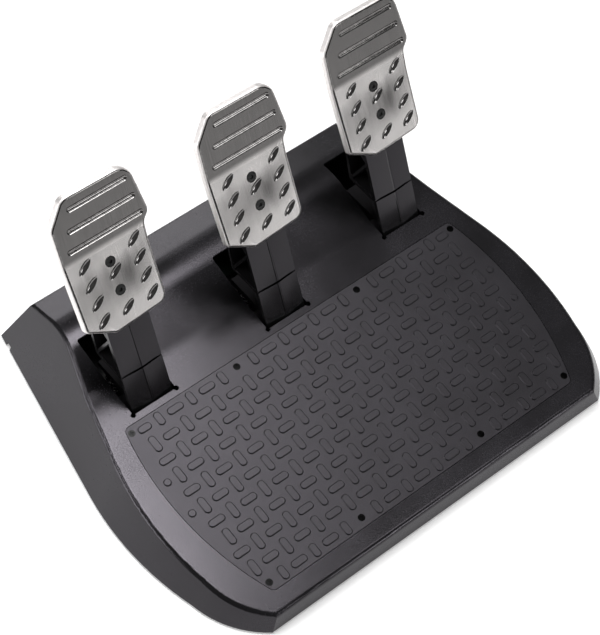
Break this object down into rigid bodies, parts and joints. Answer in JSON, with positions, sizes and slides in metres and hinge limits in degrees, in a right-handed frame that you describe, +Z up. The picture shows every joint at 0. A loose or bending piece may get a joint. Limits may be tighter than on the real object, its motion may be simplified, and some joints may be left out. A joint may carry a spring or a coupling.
{
  "type": "sim racing pedal set",
  "caption": "Foot controls for driving games: clutch, brake and throttle pedals with pressed metal pads on ribbed arms, sprung in a sloping black base with a gripped heel plate.",
  "frame": {"origin": "on the floor, under the middle of the base", "axes": "+X to the driver's right, from clutch to throttle, +Y to the rear, away from the driver, +Z up"},
  "size_m": [0.359, 0.286, 0.193],
  "materials": {
    "shell": "fine moulded grain, satin",
    "underside": "matt",
    "heel_plate": "fine moulded grain, satin",
    "dark_screws": "blackened",
    "feet": "matt",
    "inserts": "turned",
    "gland": "matt",
    "board": "glossy lacquer",
    "sockets": "matt",
    "bright_screws": "bright zinc",
    "leads": "matt sheath",
    "brackets": "matt, glass filled",
    "bushes": "smooth",
    "bumpers": "matt",
    "springs": "drawn wire",
    "sensors": "matt",
    "arms": "semi-gloss",
    "pads": "brushed, bright edges",
    "pad_supports": "matt",
    "pad_screws": "dull zinc",
    "axles": "ground",
    "gears": "smooth"
  },
  "bodies": {
    "base": {"upper_housing": "shell", "base_plate": "underside", "heel_plate": "heel_plate", "heel_plate_screws": "dark_screws", "housing_screws": "dark_screws", "bracket_screws": "dark_screws", "rubber_feet": "feet", "rig_inserts": "inserts", "cable_gland": "gland", "circuit_board": "board", "board_sockets": "sockets", "board_screws": "bright_screws", "sensor_leads": "leads", "clutch_bracket": "brackets", "clutch_bushes": "bushes", "clutch_bumpers": "bumpers", "clutch_return_spring": "springs", "clutch_sensor": "sensors", "brake_bracket": "brackets", "brake_bushes": "bushes", "brake_bumpers": "bumpers", "brake_return_spring": "springs", "brake_sensor": "sensors", "throttle_bracket": "brackets", "throttle_bushes": "bushes", "throttle_bumpers": "bumpers", "throttle_return_spring": "springs", "throttle_sensor": "sensors"},
    "clutch_pedal": {"clutch_arm": "arms", "clutch_pad": "pads", "clutch_pad_support": "pad_supports", "clutch_pad_screws": "pad_screws", "clutch_axle": "axles", "clutch_axle_clip": "axles", "clutch_sector_gear": "gears"},
    "clutch_sensor_gear": {"clutch_pinion": "gears"},
    "brake_pedal": {"brake_arm": "arms", "brake_pad": "pads", "brake_pad_support": "pad_supports", "brake_pad_screws": "pad_screws", "brake_axle": "axles", "brake_axle_clip": "axles", "brake_sector_gear": "gears"},
    "brake_sensor_gear": {"brake_pinion": "gears"},
    "throttle_pedal": {"throttle_arm": "arms", "throttle_pad": "pads", "throttle_pad_support": "pad_supports", "throttle_pad_screws": "pad_screws", "throttle_axle": "axles", "throttle_axle_clip": "axles", "throttle_sector_gear": "gears"},
    "throttle_sensor_gear": {"throttle_pinion": "gears"}
  },
  "joints": [
    {"name": "clutch_press", "type": "hinge", "parent": "base", "child": "clutch_pedal", "pos_m": [-0.11201, 0.03374, 0.02369], "axis": [-1, 0, 0], "range_deg": [0, 22], "stiffness_Nm_per_rad": 8, "springref_deg": -14.32, "deforming": ["clutch_return_spring"]},
    {"name": "clutch_sensor_turn", "type": "hinge", "parent": "base", "child": "clutch_sensor_gear", "pos_m": [-0.11201, 0.05982, 0.02369], "axis": [-1, 0, 0], "range_deg": [-75, 2]},
    {"name": "brake_press", "type": "hinge", "parent": "base", "child": "brake_pedal", "pos_m": [0, 0.03374, 0.02369], "axis": [-1, 0, 0], "range_deg": [0, 22], "stiffness_Nm_per_rad": 12, "springref_deg": -14.32, "deforming": ["brake_return_spring"]},
    {"name": "brake_sensor_turn", "type": "hinge", "parent": "base", "child": "brake_sensor_gear", "pos_m": [0, 0.05982, 0.02369], "axis": [-1, 0, 0], "range_deg": [-75, 2]},
    {"name": "throttle_press", "type": "hinge", "parent": "base", "child": "throttle_pedal", "pos_m": [0.11201, 0.04444, 0.02519], "axis": [-1, 0, 0], "range_deg": [0, 22], "stiffness_Nm_per_rad": 6, "springref_deg": -14.32, "deforming": ["throttle_return_spring"]},
    {"name": "throttle_sensor_turn", "type": "hinge", "parent": "base", "child": "throttle_sensor_gear", "pos_m": [0.11201, 0.07052, 0.02519], "axis": [-1, 0, 0], "range_deg": [-75, 2]}
  ],
  "couplings": [
    {"joint": "clutch_sensor_turn", "follows": "clutch_press", "ratio": -3.3333},
    {"joint": "brake_sensor_turn", "follows": "brake_press", "ratio": -3.3333},
    {"joint": "throttle_sensor_turn", "follows": "throttle_press", "ratio": -3.3333}
  ]
}
